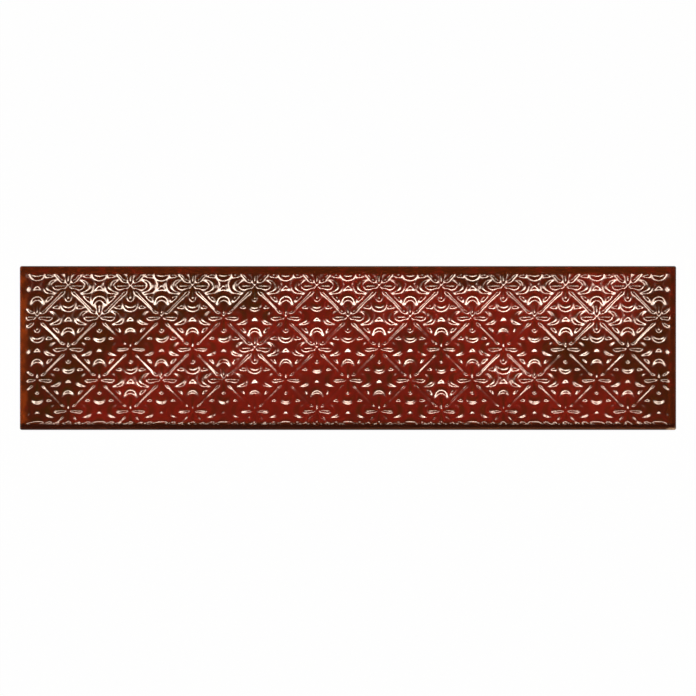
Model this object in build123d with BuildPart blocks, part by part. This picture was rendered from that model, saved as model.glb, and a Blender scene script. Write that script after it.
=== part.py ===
"""Decorative wall tile, 75 x 300 mm, lying face up on its back.

Length along X, width along Y, face towards +Z, back plane at z = 0. Millimetres.
"""
import os

from build123d import *

os.makedirs("parts", exist_ok=True)

# Outline of the face
tile_length = 300.0
tile_width = 75.0
corner_radius = 0.8

# Section, from the back up
tile_thickness = 9.0
back_inset = 0.6        # the back is this much smaller than the face on every side
draft_height = 4.5      # the sides lean out up to here and stand upright above
rim_drop = 0.7          # the rim falls this far from the field to the arris
arris_radius = 0.6

# Plain rim round the patterned field
rim_width = 3.6
field_corner_radius = 0.4

# Keying pockets in the back
pocket_columns = 12
pocket_rows = 4
pocket_depth = 0.8
pocket_draft = 30.0     # degrees the pocket walls lean
rib_width = 3.0         # between two pockets
back_margin = 6.0       # plain band round the pockets

edge_height = tile_thickness - rim_drop
field_length = tile_length - 2 * rim_width
field_width = tile_width - 2 * rim_width
back_length = tile_length - 2 * back_inset
back_width = tile_width - 2 * back_inset
pocket_pitch_x = (back_length - 2 * back_margin + rib_width) / pocket_columns
pocket_pitch_y = (back_width - 2 * back_margin + rib_width) / pocket_rows

with BuildPart() as tile:
    # Lower body, widening from the back to the full outline
    with BuildSketch(Plane.XY):
        RectangleRounded(back_length, back_width, corner_radius)
    with BuildSketch(Plane.XY.offset(draft_height)):
        RectangleRounded(tile_length, tile_width, corner_radius)
    loft(ruled=True)

    # Upright band that faces the grout joint
    with BuildSketch(Plane.XY.offset(draft_height)):
        RectangleRounded(tile_length, tile_width, corner_radius)
    extrude(amount=edge_height - draft_height)

    # Rim rising from the arris to the patterned field
    with BuildSketch(Plane.XY.offset(edge_height)):
        RectangleRounded(tile_length, tile_width, corner_radius)
    with BuildSketch(Plane.XY.offset(tile_thickness)):
        RectangleRounded(field_length, field_width, field_corner_radius)
    loft(ruled=True)

    # Rounded arris, where the glaze runs over the edge
    arris = tile.edges().filter_by(lambda e: abs(e.center().Z - edge_height) < 0.01)
    fillet(arris, arris_radius)

    # Keying pockets pressed into the back
    with BuildSketch(Plane.XY):
        with GridLocations(pocket_pitch_x, pocket_pitch_y, pocket_columns, pocket_rows):
            Rectangle(pocket_pitch_x - rib_width, pocket_pitch_y - rib_width)
    extrude(amount=pocket_depth, taper=pocket_draft, mode=Mode.SUBTRACT)

tile.part.label = "tile"
export_step(tile.part, "parts/tile.step")
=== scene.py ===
"""Glazed wall tile with a pressed lattice of quatrefoils, lying face up and seen straight from above.

The tile is modelled in millimetres and made metres at the end. One wedge of the die is drawn strip by strip,
mirrored and turned into a flower and repeated. An even sheet is pressed on the die, softened as the glaze
softens it, set into the blank's rim and pulled out of true.
"""
import math

import bmesh
import bpy
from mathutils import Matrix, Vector


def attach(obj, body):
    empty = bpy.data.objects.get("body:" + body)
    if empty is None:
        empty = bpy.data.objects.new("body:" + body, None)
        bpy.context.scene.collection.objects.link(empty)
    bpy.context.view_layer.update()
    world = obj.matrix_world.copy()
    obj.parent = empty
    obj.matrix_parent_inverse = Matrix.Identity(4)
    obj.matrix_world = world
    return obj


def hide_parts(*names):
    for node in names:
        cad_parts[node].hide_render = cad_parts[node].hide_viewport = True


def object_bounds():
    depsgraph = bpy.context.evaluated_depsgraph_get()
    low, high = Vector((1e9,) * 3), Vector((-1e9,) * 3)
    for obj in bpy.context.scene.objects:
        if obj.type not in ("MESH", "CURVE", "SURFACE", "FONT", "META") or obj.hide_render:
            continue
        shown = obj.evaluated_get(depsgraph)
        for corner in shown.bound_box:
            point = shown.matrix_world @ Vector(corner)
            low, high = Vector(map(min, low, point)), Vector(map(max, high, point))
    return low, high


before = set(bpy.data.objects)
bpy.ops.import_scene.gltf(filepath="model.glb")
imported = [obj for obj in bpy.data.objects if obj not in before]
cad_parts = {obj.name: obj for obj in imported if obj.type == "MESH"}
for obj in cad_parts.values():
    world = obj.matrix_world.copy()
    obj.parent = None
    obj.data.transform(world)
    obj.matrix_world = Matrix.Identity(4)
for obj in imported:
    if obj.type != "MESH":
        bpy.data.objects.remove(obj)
cad_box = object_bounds()

# Sizes in millimetres, the outer ones from the CAD box
MM = 0.001
TILE_LENGTH, TILE_WIDTH, TILE_THICKNESS = (round((high - low) / MM, 3) for low, high in zip(*cad_box))
RIM_WIDTH = 3.6
SHEET_INSET = 2.9       # from the tile's edge to the edge of the pressed sheet
LIP = 0.08              # rise of the field's border along the two long sides
LAND_HEIGHT = 8.52      # face between the recesses, before it swells
RELIEF = 0.45           # what a depth of 1 stands for in the shapes of the pattern
PITCH = 28.4            # from one flower to the next
HALF = PITCH / 2
GRAIN = HALF / 30       # squares of the pressed sheet

# Back of the blank, in millimetres
BACK_INSET = 0.6
BACK_MARGIN = 6.0
CORNER_RADIUS = 0.8
POCKET_COLUMNS = 12
POCKET_ROWS = 4
POCKET_DEPTH = 0.8
POCKET_WALL = 0.46      # width that a pocket's leaning wall takes
RIB = 3.0

# Humps and hollows of the face: place, reach and height
SWELLS = [
    (-112, 11, 17, 0.34), (-90, 20, 16, 0.24), (-57, 22, 15, 0.18), (-76, -21, 17, 0.32),
    (-48, -20, 18, 0.42), (8, 5, 18, 0.14), (28, 8, 16, 0.16), (70, -21, 15, 0.20),
    (114, 3, 22, 0.40), (98, -20, 12, 0.12), (-96, -7, 18, -0.64), (-64, -6, 15, -0.42),
    (-42, 8, 17, -0.42), (-18, 8, 16, -0.28), (-12, -20, 16, -0.24), (42, -12, 18, -0.54),
    (72, -2, 18, -0.58), (88, -8, 14, -0.26), (-147, 35, 18, 0.34), (147, 35, 16, 0.30),
]

# Brown patches of the glaze: place and reach along and across
BROWN_PATCHES = [
    (-120, 14, 62, 40), (-145, -10, 36, 60), (-60, 30, 60, 26), (148, 0, 34, 70), (104, -2, 34, 22),
    (60, 34, 60, 14),
]

# Stage, in metres
STRIP_HEIGHT = 0.38
CAMERA_HEIGHT = 1.6
VIEW_WIDTH = 0.3178     # width of the picture at the face


# Working by hand in edit mode

def start_fresh():
    if bpy.context.object and bpy.context.object.mode != "OBJECT":
        bpy.ops.object.mode_set(mode="OBJECT")
    bpy.ops.object.select_all(action="DESELECT")


def take(piece):
    """Select one piece alone and make it the active one."""
    start_fresh()
    piece.select_set(True)
    bpy.context.view_layer.objects.active = piece


def edit(piece):
    take(piece)
    bpy.ops.object.mode_set(mode="EDIT")


def pick(piece, wanted, kind="VERT"):
    """Select the vertices, edges or faces that wanted() names, and nothing else."""
    bpy.ops.mesh.select_mode(type=kind)
    bpy.ops.mesh.select_all(action="DESELECT")
    mesh = bmesh.from_edit_mesh(piece.data)
    for part in {"VERT": mesh.verts, "EDGE": mesh.edges, "FACE": mesh.faces}[kind]:
        if wanted(part):
            part.select_set(True)
    bmesh.update_edit_mesh(piece.data)


def at(x, y):
    return lambda vertex: abs(vertex.co.x - x) < 0.01 and abs(vertex.co.y - y) < 0.01


def turn(degrees):
    bpy.ops.transform.rotate(value=-math.radians(degrees), orient_axis="Z", center_override=(0, 0, 0))


def join(pieces, name):
    start_fresh()
    for piece in pieces:
        piece.select_set(True)
    bpy.context.view_layer.objects.active = pieces[0]
    bpy.ops.object.join()
    whole = bpy.context.object
    whole.name = name
    edit(whole)
    bpy.ops.mesh.select_all(action="SELECT")
    bpy.ops.mesh.remove_doubles(threshold=0.004)
    return whole


def finish_with(piece, kind, **settings):
    take(piece)
    modifier = piece.modifiers.new(kind.lower(), kind)
    for key, value in settings.items():
        setattr(modifier, key, value)
    bpy.ops.object.modifier_apply(modifier=modifier.name)


# The pressed pattern

def pressed_strip(name, stations, section):
    """A recess drawn as a strip: each station runs from one edge point to another and has its own depth,
    and the section gives, from the first point to the second, how far along and how deep."""
    along = len(stations)
    across = len(section)
    start_fresh()
    bpy.ops.mesh.primitive_grid_add(x_subdivisions=along - 1, y_subdivisions=across - 1, size=1,
                                    location=(0.5, 0.5, 0))
    strip = bpy.context.object
    strip.name = name
    bpy.ops.object.transform_apply(location=True)
    edit(strip)
    for row, (place, fall) in enumerate(section):
        pick(strip, lambda vertex: vertex.index // along == row)
        bpy.ops.transform.translate(value=(0, place - row / (across - 1), -fall))
    for column, (start, end, depth) in enumerate(stations):
        run = Vector(end) - Vector(start)
        pick(strip, lambda vertex: vertex.index % along == column)
        bpy.ops.transform.translate(value=(-column / (along - 1), 0, 0))
        bpy.ops.transform.resize(value=(1, run.length, depth * RELIEF), center_override=(0, 0, 0))
        turn(math.degrees(math.atan2(run.y, run.x)) - 90 if run.length else 0)
        bpy.ops.transform.translate(value=(start[0], start[1], 0))
    return strip


def beside_bar(strip):
    """Turn a strip drawn along the bar, from its middle, to lie between two flowers."""
    edit(strip)
    bpy.ops.mesh.select_all(action="SELECT")
    turn(225)
    bpy.ops.transform.translate(value=(HALF / 2, HALF / 2, 0))
    return strip


def off_bar(distance):
    """A point on the wedge's outer side, that far from the middle of the bar."""
    step = distance * math.sqrt(0.5)
    return HALF / 2 + step, HALF / 2 - step


def borders_land(edge):
    """An open edge that lies at the height of the land."""
    return len(edge.link_faces) < 2 and max(abs(vertex.co.z) for vertex in edge.verts) < 0.0005


def pattern_wedge():
    """An eighth of a flower's diamond: half a petal, half a crescent, a quarter bar, pits and their land."""
    petal_start = 0.50
    petal_end = 7.05
    crescent_front = 7.60
    crescent_back = 11.80
    bar_half = 0.80
    bar_end = 7.60
    pit_middle = 2.70
    pit_near = 1.50
    pit_far = 4.60
    star_side = HALF - 1.80
    star_tip = 2.50

    # Sections of the recesses: share of the way across and share of the depth
    trough = [(0, 1), (0.18, 0.97), (0.4, 0.7), (0.62, 0.3), (0.82, 0.05), (1, 0)]
    basin = [(0, 0), (0.06, 0.1), (0.14, 0.36), (0.22, 0.64), (0.3, 0.9), (0.36, 1), (0.56, 1), (0.64, 0.93),
             (0.76, 0.62), (0.88, 0.25), (0.95, 0.07), (1, 0)]
    cone = [(0, 1), (0.4, 0.7), (0.75, 0.2), (1, 0)]

    # Petal: distance along, half width and depth
    petal_shape = [(petal_start, 0.00, 0.00), (0.9, 0.36, 0.42), (1.8, 0.82, 0.62), (3.0, 1.24, 0.60),
                   (4.0, 1.56, 0.56), (4.8, 1.76, 0.54), (5.5, 1.76, 0.54), (6.1, 1.50, 0.48),
                   (6.6, 1.02, 0.28), (6.9, 0.52, 0.08), (petal_end, 0.00, 0.00)]
    petal = pressed_strip("petal", [((x, 0), (x, w), d) for x, w, d in petal_shape], trough)

    # Crescent: inner point, outer point and depth
    crescent_shape = [((crescent_front, 0.00), (crescent_back, 0.00), 0.52),
                      ((7.54, 0.50), (11.66, 0.98), 0.52),
                      ((7.36, 1.00), (11.24, 1.92), 0.50), ((7.06, 1.47), (10.48, 2.78), 0.45),
                      ((6.62, 1.87), (9.35, 3.36), 0.36), ((6.10, 2.20), (7.95, 3.60), 0.25),
                      ((5.70, 2.58), (6.75, 3.60), 0.15), ((5.45, 2.93), (5.90, 3.44), 0.06),
                      ((5.32, 3.25), (5.32, 3.25), 0.00)]
    crescent = pressed_strip("crescent", crescent_shape, basin)

    # Bar: distance along, half width and depth
    bar_shape = [(0.0, bar_half, 0.38), (1.6, bar_half, 0.38), (3.2, bar_half, 0.38), (4.5, bar_half, 0.40),
                 (5.3, 0.90, 0.50), (6.0, 1.04, 0.58), (6.7, 0.90, 0.54), (7.2, 0.54, 0.32),
                 (bar_end, 0.00, 0.00)]
    bar = beside_bar(pressed_strip("bar", [((x, 0), (x, w), d) for x, w, d in bar_shape], trough))

    # Pit and star: points of the edge round the deepest one
    pit_shape = [(0.00, pit_near), (1.15, pit_near), (2.15, 1.65), (2.60, 1.95), (1.80, 2.75), (1.10, 3.45),
                 (0.50, 4.10), (0.00, pit_far)]
    pit = beside_bar(pressed_strip("pit", [((0, pit_middle), edge, 0.60) for edge in pit_shape], cone))
    star_shape = [(star_side, 0), (HALF - 1.83, 0.9), (HALF - star_tip, star_tip)]
    star = pressed_strip("star", [((HALF, 0), edge, 0.44) for edge in star_shape], cone)

    # Land between the recesses
    wedge = join([petal, crescent, bar, pit, star], "wedge")
    pick(wedge, at(petal_start, 0))
    bpy.ops.mesh.extrude_vertices_move(TRANSFORM_OT_translate={"value": (-petal_start, 0, 0)})
    bar_tip = HALF / 2 - bar_end * math.sqrt(0.5)
    for start, end in [((petal_end, 0), (crescent_front, 0)), ((crescent_back, 0), (star_side, 0)),
                       ((HALF - star_tip, star_tip), off_bar(pit_far)),
                       (off_bar(pit_near), off_bar(bar_half)), ((bar_tip, bar_tip), (0, 0))]:
        pick(wedge, lambda vertex: at(*start)(vertex) or at(*end)(vertex))
        bpy.ops.mesh.edge_face_add()
    pick(wedge, borders_land, "EDGE")
    bpy.ops.mesh.edge_face_add()
    bpy.ops.mesh.select_all(action="SELECT")
    bpy.ops.mesh.normals_make_consistent(inside=False)
    return wedge


def pressed_field():
    """The wedge made a flower, and the flowers set in a lattice."""
    flower = pattern_wedge()
    finish_with(flower, "MIRROR", use_axis=(False, True, False), use_clip=False, merge_threshold=0.002)
    edit(flower)
    bpy.ops.mesh.select_all(action="SELECT")
    bpy.ops.mesh.spin(steps=3, dupli=True, angle=math.radians(270), center=(0, 0, 0), axis=(0, 0, 1))
    bpy.ops.mesh.select_all(action="SELECT")
    bpy.ops.mesh.remove_doubles(threshold=0.004)
    take(flower)
    bpy.ops.object.duplicate()
    between = bpy.context.object
    for rows, columns, row in ((3, 12, flower), (4, 11, between)):
        for count, step in ((columns, (PITCH, 0, 0)), (rows, (0, PITCH, 0))):
            finish_with(row, "ARRAY", count=count, use_relative_offset=False, use_constant_offset=True,
                        constant_offset_displace=step, use_merge_vertices=True, merge_threshold=0.004)
        edit(row)
        bpy.ops.mesh.select_all(action="SELECT")
        bpy.ops.transform.translate(value=(-(columns - 1) * HALF, -(rows - 1) * HALF, 0))
    field = join([flower, between], "die")
    pick(field, lambda face: len(face.verts) > 4, "FACE")
    bpy.ops.mesh.quads_convert_to_tris(quad_method="BEAUTY", ngon_method="BEAUTY")
    return field


def ring_out(half_length, half_width, out, kept):
    """Extrude the selected border outwards, keeping that share of the depth that it has."""
    bpy.ops.mesh.extrude_region_move()
    bpy.ops.transform.resize(value=((half_length + out) / half_length, (half_width + out) / half_width, kept),
                             center_override=(0, 0, 0))
    return half_length + out, half_width + out


def trim_field(field):
    """Cut the lattice to the field, close the recesses at its border and raise its long sides to a lip."""
    cut_before_rim = 0.5
    lip_onto_rim = 0.55
    half_length = TILE_LENGTH / 2 - RIM_WIDTH - cut_before_rim
    half_width = TILE_WIDTH / 2 - RIM_WIDTH - cut_before_rim
    edit(field)
    for side in (1, -1):
        bpy.ops.mesh.select_all(action="SELECT")
        bpy.ops.mesh.bisect(plane_co=(side * half_length, 0, 0), plane_no=(side, 0, 0), clear_outer=True)
        bpy.ops.mesh.select_all(action="SELECT")
        bpy.ops.mesh.bisect(plane_co=(0, side * half_width, 0), plane_no=(0, side, 0), clear_outer=True)
    pick(field, lambda edge: edge.is_boundary, "EDGE")
    size = (half_length, half_width)
    for out, kept in ((0.3, 0.8), (0.3, 0.75), (0.3, 0.67), (0.3, 0.5), (0.3, 0), (0.8, 1)):
        size = ring_out(*size, out, kept)
    pick(field, lambda vertex: abs(vertex.co.y) > TILE_WIDTH / 2 - RIM_WIDTH + lip_onto_rim)
    bpy.ops.transform.translate(value=(0, 0, LIP))
    bpy.ops.mesh.select_all(action="SELECT")
    bpy.ops.transform.translate(value=(0, 0, LAND_HEIGHT))


def sheet_on(die, name, grain, spare=0.0):
    """An even sheet laid on what lies under it, reaching the rim or a little further."""
    columns = 2 * int((TILE_LENGTH / 2 - SHEET_INSET + spare) / grain)
    rows = 2 * int((TILE_WIDTH / 2 - SHEET_INSET + spare) / grain)
    start_fresh()
    bpy.ops.mesh.primitive_grid_add(x_subdivisions=columns, y_subdivisions=rows, size=1,
                                    location=(0, 0, LAND_HEIGHT + 1))
    sheet = bpy.context.object
    sheet.name = name
    sheet.scale = (columns * grain, rows * grain, 1)
    bpy.ops.object.transform_apply(location=True, scale=True)
    finish_with(sheet, "SHRINKWRAP", target=die, wrap_method="PROJECT", use_project_z=True,
                use_positive_direction=False, use_negative_direction=True)
    bpy.data.objects.remove(die)
    return sheet


def pressed_sheet(die):
    """The face, pressed on the die, softened as the glaze softens it and laid out again in larger squares."""
    fine = sheet_on(die, "fine_sheet", GRAIN / 2, spare=0.5)
    finish_with(fine, "SMOOTH", factor=0.5, iterations=5, use_x=False, use_y=False)
    return sheet_on(fine, "sheet", GRAIN)


def blank():
    """Back with keying pockets, sides, arris and rim, open where the field goes."""
    back_length = TILE_LENGTH - 2 * BACK_INSET
    back_width = TILE_WIDTH - 2 * BACK_INSET
    sheet_gap = 0.15
    pockets_length = back_length - 2 * BACK_MARGIN + RIB
    pockets_width = back_width - 2 * BACK_MARGIN + RIB
    start_fresh()
    bpy.ops.mesh.primitive_grid_add(x_subdivisions=POCKET_COLUMNS, y_subdivisions=POCKET_ROWS, size=1)
    body = bpy.context.object
    body.name = "blank"
    body.scale = (pockets_length, pockets_width, 1)
    bpy.ops.object.transform_apply(scale=True)
    edit(body)
    bpy.ops.mesh.select_all(action="SELECT")
    bpy.ops.mesh.inset(thickness=RIB / 2, use_individual=True)
    bpy.ops.mesh.inset(thickness=POCKET_WALL, depth=POCKET_DEPTH, use_individual=True)
    size = [pockets_length, pockets_width, 0.0]

    def ring(length, width, height):
        bpy.ops.mesh.extrude_region_move()
        bpy.ops.transform.resize(value=(length / size[0], width / size[1], 1), center_override=(0, 0, 0))
        bpy.ops.transform.translate(value=(0, 0, height - size[2]))
        size[:] = [length, width, height]

    def at_corner(vertex):
        return (abs(abs(vertex.co.x) - back_length / 2) < 0.01
                and abs(abs(vertex.co.y) - back_width / 2) < 0.01)

    pick(body, lambda edge: edge.is_boundary, "EDGE")
    ring(back_length, back_width, 0)
    pick(body, at_corner)
    bpy.ops.mesh.bevel(offset=CORNER_RADIUS, segments=3, affect="VERTICES")
    pick(body, lambda edge: edge.is_boundary and edge.calc_length() > 2, "EDGE")
    bpy.ops.mesh.subdivide(number_cuts=8)
    pick(body, lambda edge: edge.is_boundary, "EDGE")

    # Sides, arris and rim: inset from the outline and fall below the land
    for inset, below in ((0, 4.1), (0, 1.6), (0.02, 1.25), (0.1, 0.95), (0.25, 0.76), (0.45, 0.63),
                         (0.7, 0.54), (1.0, 0.45), (1.5, 0.33), (2.1, 0.18), (SHEET_INSET - sheet_gap, 0.02)):
        ring(TILE_LENGTH - 2 * inset, TILE_WIDTH - 2 * inset, LAND_HEIGHT - below)
    bpy.ops.mesh.mark_sharp()
    pick(body, lambda v: abs(v.co.y) > TILE_WIDTH / 2 - SHEET_INSET and v.co.z > LAND_HEIGHT - 0.1)
    bpy.ops.transform.translate(value=(0, 0, LIP))
    return body


def note_depth(tile):
    """Note on every point of the field how far it was pressed below the land, from 0 to 1."""
    full_depth = 0.5 * RELIEF
    pooled = tile.data.attributes.new("pooled", "FLOAT", "POINT")
    for note, vertex in zip(pooled.data, tile.data.vertices):
        x, y, z = vertex.co
        in_field = abs(x) < TILE_LENGTH / 2 - RIM_WIDTH and abs(y) < TILE_WIDTH / 2 - RIM_WIDTH
        on_face = in_field and z > TILE_THICKNESS / 2
        note.value = min(1, max(0, (LAND_HEIGHT - z) / full_depth)) if on_face else 0


def swell_face(tile):
    """The face is uneven, as pressed and fired by hand: broad humps and hollows, each pulled by itself."""
    held_below = LAND_HEIGHT - 1.3
    edit(tile)
    pick(tile, lambda vertex: vertex.co.z < held_below)
    bpy.ops.mesh.hide(unselected=False)
    for x, y, reach, height in SWELLS:
        mesh = bmesh.from_edit_mesh(tile.data)
        near = min((vertex for vertex in mesh.verts if not vertex.hide),
                   key=lambda vertex: (vertex.co.x - x) ** 2 + (vertex.co.y - y) ** 2)
        place = near.index
        pick(tile, lambda vertex: vertex.index == place)
        bpy.ops.transform.translate(value=(0, 0, height), use_proportional_edit=True,
                                    proportional_edit_falloff="SMOOTH", proportional_size=reach)
    bpy.ops.mesh.reveal(select=False)


def glazed_tile():
    die = pressed_field()
    trim_field(die)
    start_fresh()
    tile = join([pressed_sheet(die), blank()], "tile")
    pick(tile, lambda edge: edge.is_boundary, "EDGE")
    bpy.ops.mesh.fill(use_beauty=False)
    bpy.ops.mesh.select_all(action="SELECT")
    bpy.ops.mesh.normals_make_consistent(inside=False)
    start_fresh()
    note_depth(tile)
    swell_face(tile)
    bpy.ops.mesh.select_all(action="SELECT")
    bpy.ops.transform.resize(value=(MM, MM, MM), center_override=(0, 0, 0))
    take(tile)
    bpy.ops.object.shade_smooth()
    return tile


# Finishes

def add_node(tree, kind, **settings):
    node = tree.nodes.new(kind)
    for key, value in settings.items():
        setattr(node, key, value)
    return node


def feed(tree, socket, value):
    """Link a socket to another node's output, or set it to a plain value."""
    if isinstance(value, bpy.types.NodeSocket):
        tree.links.new(value, socket)
    else:
        socket.default_value = value


def reckon(tree, operation, first, second=0.0, clamp=False):
    node = add_node(tree, "ShaderNodeMath", operation=operation, use_clamp=clamp)
    feed(tree, node.inputs[0], first)
    feed(tree, node.inputs[1], second)
    return node.outputs[0]


def times(tree, first, second):
    return reckon(tree, "MULTIPLY", first, second)


def plus(tree, first, second):
    return reckon(tree, "ADD", first, second)


def blend(tree, share, first, second):
    """The first colour where the share is 0, the second where it is 1."""
    node = add_node(tree, "ShaderNodeMix", data_type="RGBA")
    feed(tree, node.inputs[0], share)
    feed(tree, node.inputs[6], first if isinstance(first, bpy.types.NodeSocket) else (*first, 1))
    feed(tree, node.inputs[7], second if isinstance(second, bpy.types.NodeSocket) else (*second, 1))
    return node.outputs[2]


def ramp(tree, value, low, high):
    """0 below the first value, 1 above the second, smooth between."""
    node = add_node(tree, "ShaderNodeMapRange", interpolation_type="SMOOTHSTEP")
    feed(tree, node.inputs["Value"], value)
    node.inputs["From Min"].default_value = low
    node.inputs["From Max"].default_value = high
    return node.outputs[0]


def near_edge(tree, way, side, start, end):
    """0 until that many millimetres before the end of a side of that length, 1 from the second on."""
    return ramp(tree, way, (side / 2 - start) * MM, (side / 2 - end) * MM)


def cloud(tree, place, size, detail=2.0):
    """Soft noise, its size in millimetres."""
    node = add_node(tree, "ShaderNodeTexNoise")
    feed(tree, node.inputs["Vector"], place)
    node.inputs["Scale"].default_value = 1 / (size * MM)
    node.inputs["Detail"].default_value = detail
    return node.outputs["Fac"]


def spot(tree, place, x, y, reach_x, reach_y):
    """A soft round patch of the face, 1 in its middle."""
    mapping = add_node(tree, "ShaderNodeMapping")
    feed(tree, mapping.inputs["Vector"], place)
    mapping.inputs["Location"].default_value = (-x / reach_x, -y / reach_y, 0)
    mapping.inputs["Scale"].default_value = (1 / (reach_x * MM), 1 / (reach_y * MM), 0)
    gradient = add_node(tree, "ShaderNodeTexGradient", gradient_type="SPHERICAL")
    tree.links.new(mapping.outputs[0], gradient.inputs[0])
    return gradient.outputs["Fac"]


def glaze():
    """Red glaze that turns brown where it is thick, over a buff body that shows below the edge."""
    red = (0.202, 0.0125, 0.0055)
    maroon = (0.125, 0.0120, 0.0052)
    chocolate = (0.080, 0.0118, 0.0040)
    pooled_brown = (0.062, 0.0130, 0.0020)
    pooled_olive = (0.043, 0.0190, 0.0022)
    rim_brown = (0.098, 0.0165, 0.0028)
    # Painted shade for the rim's right and bottom sides and its outer edge, and painted light for its left
    # side
    rim_painted_shade = (0.040, 0.0068, 0.0022)
    rim_painted_light = (0.250, 0.0400, 0.0055)
    thin_edge = (0.180, 0.0620, 0.0240)
    body_buff = (0.520, 0.3300, 0.2000)
    body_grit = (0.400, 0.2400, 0.1400)
    glaze_line = 0.0066
    glaze_line_blur = 0.0004

    material = bpy.data.materials.new("red_glaze")
    material.use_nodes = True
    tree = material.node_tree
    shader = tree.nodes["Principled BSDF"]
    place = add_node(tree, "ShaderNodeTexCoord").outputs["Object"]
    apart = add_node(tree, "ShaderNodeSeparateXYZ")
    tree.links.new(place, apart.inputs[0])
    x, y, z = apart.outputs
    left = times(tree, x, -1.0)
    down = times(tree, y, -1.0)
    out_x = reckon(tree, "ABSOLUTE", x)
    out_y = reckon(tree, "ABSOLUTE", y)
    depth = add_node(tree, "ShaderNodeAttribute", attribute_name="pooled").outputs["Fac"]

    # Red and brown of the land
    browned = 0.0
    for patch in BROWN_PATCHES:
        browned = plus(tree, browned, spot(tree, place, *patch))
    ragged = times(tree, reckon(tree, "SUBTRACT", cloud(tree, place, 16), 0.5), 0.9)
    browned = ramp(tree, plus(tree, browned, ragged), 0.1, 0.75)
    mottled = ramp(tree, cloud(tree, place, 6, 3.0), 0.4, 0.65)
    deeper = times(tree, ramp(tree, cloud(tree, place, 13, 3.0), 0.45, 0.68), 0.75)
    reds = blend(tree, deeper, red, maroon)
    browns = blend(tree, mottled, chocolate, pooled_brown)
    land = blend(tree, browned, reds, browns)

    # Thick glaze in the recesses
    olive = ramp(tree, cloud(tree, place, 22), 0.42, 0.66)
    pool = blend(tree, olive, pooled_brown, pooled_olive)
    patchy = ramp(tree, cloud(tree, place, 30), 0.3, 0.6)
    thick = plus(tree, plus(tree, times(tree, patchy, 0.42), times(tree, browned, 0.3)), 0.12)
    pooled = reckon(tree, "MULTIPLY", ramp(tree, depth, 0.25, 1.0), thick, clamp=True)
    face = blend(tree, pooled, land, pool)

    # Rim: brown glaze, with painted light (amber) on the left side, and painted shade that is darker on the
    # right and dark at the bottom
    freckled = ramp(tree, cloud(tree, place, 5), 0.52, 0.7)
    rim = blend(tree, times(tree, freckled, 0.5), rim_brown, red)
    wander = times(tree, reckon(tree, "SUBTRACT", cloud(tree, place, 6, 3.0), 0.5), 0.014)
    rim = blend(tree, near_edge(tree, plus(tree, left, wander), TILE_LENGTH, 3.8, -0.2), rim, rim_painted_light)
    rim = blend(tree, times(tree, near_edge(tree, x, TILE_LENGTH, 3.8, 1.0), 0.5), rim, rim_painted_shade)
    rim = blend(tree, near_edge(tree, down, TILE_WIDTH, 3.5, 2.3), rim, rim_painted_shade)
    at_end = near_edge(tree, out_x, TILE_LENGTH, 4.4, 3.0)
    at_side = near_edge(tree, out_y, TILE_WIDTH, 4.4, 3.0)
    face = blend(tree, reckon(tree, "MAXIMUM", at_end, at_side), face, rim)

    # Thin glaze along the arris, most of it below and to the right, and painted shade along the outermost
    # edge of the long sides, where the edge turns down
    out = reckon(tree, "MAXIMUM", plus(tree, out_x, (TILE_WIDTH - TILE_LENGTH) / 2 * MM), out_y)
    along_arris = reckon(tree, "SUBTRACT", near_edge(tree, out, TILE_WIDTH, 1.3, 0.8),
                         near_edge(tree, out, TILE_WIDTH, 0.6, 0.3))
    below = times(tree, near_edge(tree, down, TILE_WIDTH, 2.5, 2.0), ramp(tree, x, -0.06, 0.08))
    worn = plus(tree, times(tree, ramp(tree, cloud(tree, place, 25), 0.35, 0.65), 0.5), below)
    face = blend(tree, times(tree, along_arris, times(tree, worn, 0.42)), face, thin_edge)
    # Painted shade on the outermost edge of the long sides
    edge_painted_shade = near_edge(tree, out_y, TILE_WIDTH, 0.5, 0.2)
    face = blend(tree, times(tree, edge_painted_shade, 0.85), face, rim_painted_shade)
    chipped = ramp(tree, spot(tree, place, 148.3, -37.1, 5, 1.1), 0.25, 0.6)
    face = blend(tree, times(tree, chipped, 0.8), face, body_buff)

    # Bare body below the glaze line
    drip = plus(tree, z, times(tree, cloud(tree, place, 9), 0.003))
    covered = ramp(tree, drip, glaze_line, glaze_line + glaze_line_blur)
    bare = blend(tree, cloud(tree, place, 2.0, 4.0), body_buff, body_grit)
    tree.links.new(blend(tree, covered, bare, face), shader.inputs["Base Color"])

    # Gloss
    dull = times(tree, reckon(tree, "SUBTRACT", 1.0, covered), 0.75)
    uneven = plus(tree, times(tree, cloud(tree, place, 6), 0.06), 0.02)
    tree.links.new(plus(tree, dull, uneven), shader.inputs["Roughness"])
    shader.inputs["IOR"].default_value = 1.62
    ripple = add_node(tree, "ShaderNodeBump")
    ripple.inputs["Strength"].default_value = 0.5
    ripple.inputs["Distance"].default_value = 0.00006
    tree.links.new(cloud(tree, place, 3.2, 1.0), ripple.inputs["Height"])
    tree.links.new(ripple.outputs[0], shader.inputs["Normal"])
    return material


# The stage

def seen_or_reflected(tree):
    """1 for a ray that shows this surface to the eye, straight or reflected, and 0 for one that lights."""
    light_path = add_node(tree, "ShaderNodeLightPath")
    seen = light_path.outputs["Is Camera Ray"]
    for ray in ("Is Glossy Ray", "Is Transmission Ray"):
        seen = reckon(tree, "MAXIMUM", seen, light_path.outputs[ray])
    return seen


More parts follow.
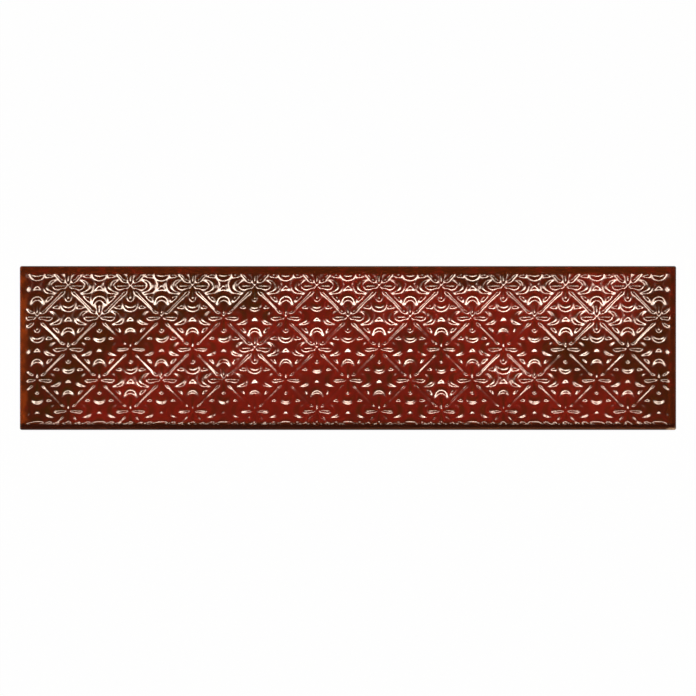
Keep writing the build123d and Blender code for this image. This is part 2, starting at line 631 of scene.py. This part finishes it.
def floor():
    """White ground that looks white to the eye and still takes a shadow."""
    start_fresh()
    bpy.ops.mesh.primitive_plane_add(size=6)
    ground = bpy.context.object
    ground.name = "floor"
    material = bpy.data.materials.new("white_floor")
    material.use_nodes = True
    tree = material.node_tree
    shader = tree.nodes["Principled BSDF"]
    shader.inputs["Base Color"].default_value = (0.9, 0.9, 0.9, 1)
    shader.inputs["Roughness"].default_value = 0.9
    white = add_node(tree, "ShaderNodeEmission")
    mixed = add_node(tree, "ShaderNodeMixShader")
    tree.links.new(times(tree, seen_or_reflected(tree), 0.98), mixed.inputs[0])
    tree.links.new(shader.outputs[0], mixed.inputs[1])
    tree.links.new(white.outputs[0], mixed.inputs[2])
    tree.links.new(mixed.outputs[0], tree.nodes["Material Output"].inputs["Surface"])
    ground.data.materials.append(material)


def lamp(name, place, aim, length, width, radiance, colour, spread=180):
    """A flat lamp that shines down, tilted by the aim's degrees, as bright as its radiance says."""
    bpy.ops.object.light_add(type="AREA", location=place, rotation=[math.radians(angle) for angle in aim])
    light = bpy.context.object
    light.name = name
    light.data.shape = "RECTANGLE"
    light.data.size = length
    light.data.size_y = width
    light.data.spread = math.radians(spread)
    light.data.energy = radiance * math.pi * length * width
    light.data.color = colour
    light.visible_camera = False
    return light


def lights():
    """Warm strips with a grid, over the middle and each end, that the relief reflects, each in a dimmer halo,
    and a broad plain fill that isn't reflected."""
    warm = (1, 0.80, 0.65)
    plain = (1, 0.93, 0.86)
    # Place, aim, length, radiance and spread of each strip
    strips = [("left_", -0.222, 0.056, (-8.5, -8, 2), 0.155, 0.50, 30),
              ("middle_", 0.0, 0.062, (-8.5, 0, 0), 0.290, 0.47, 21),
              ("right_", 0.222, 0.056, (-8.5, 8, -2), 0.155, 0.50, 30)]
    for kind, lower, width, share in (("strip", 0.0, 0.038, 1.0), ("halo", 0.010, 0.064, 0.1)):
        for side, x, y, aim, length, radiance, spread in strips:
            place = (x, y - lower, STRIP_HEIGHT)
            lamp(side + kind, place, aim, length, width, radiance * share, warm, spread)
    fill = lamp("fill", (0, -0.2, 1.4), (0, 0, 0), 1.6, 1.6, 2.35, plain)
    fill.visible_glossy = False


def room():
    """A dim room whose white walls, fading upwards, are seen and reflected but give no light."""
    dim = (0.025, 0.025, 0.025)
    white = (1, 1, 1)
    world = bpy.data.worlds.new("room")
    bpy.context.scene.world = world
    world.use_nodes = True
    tree = world.node_tree
    apart = add_node(tree, "ShaderNodeSeparateXYZ")
    tree.links.new(add_node(tree, "ShaderNodeTexCoord").outputs["Generated"], apart.inputs[0])
    wall = reckon(tree, "SUBTRACT", 1.0, ramp(tree, apart.outputs[2], 0.0, 0.75))
    shade = blend(tree, times(tree, seen_or_reflected(tree), wall), dim, white)
    tree.links.new(shade, tree.nodes["Background"].inputs["Color"])


def camera():
    sensor = 36
    bpy.ops.object.camera_add(location=(0, 0, CAMERA_HEIGHT), rotation=(0, 0, 0))
    eye = bpy.context.object
    eye.name = "camera"
    eye.data.sensor_width = sensor
    eye.data.lens = sensor * (CAMERA_HEIGHT - TILE_THICKNESS * MM) / VIEW_WIDTH
    bpy.context.scene.camera = eye


tile = glazed_tile()
tile.data.materials.clear()
tile.data.materials.append(glaze())
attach(tile, "root")
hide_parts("tile")
floor()
lights()
room()
camera()
bpy.context.scene.view_settings.view_transform = "Standard"
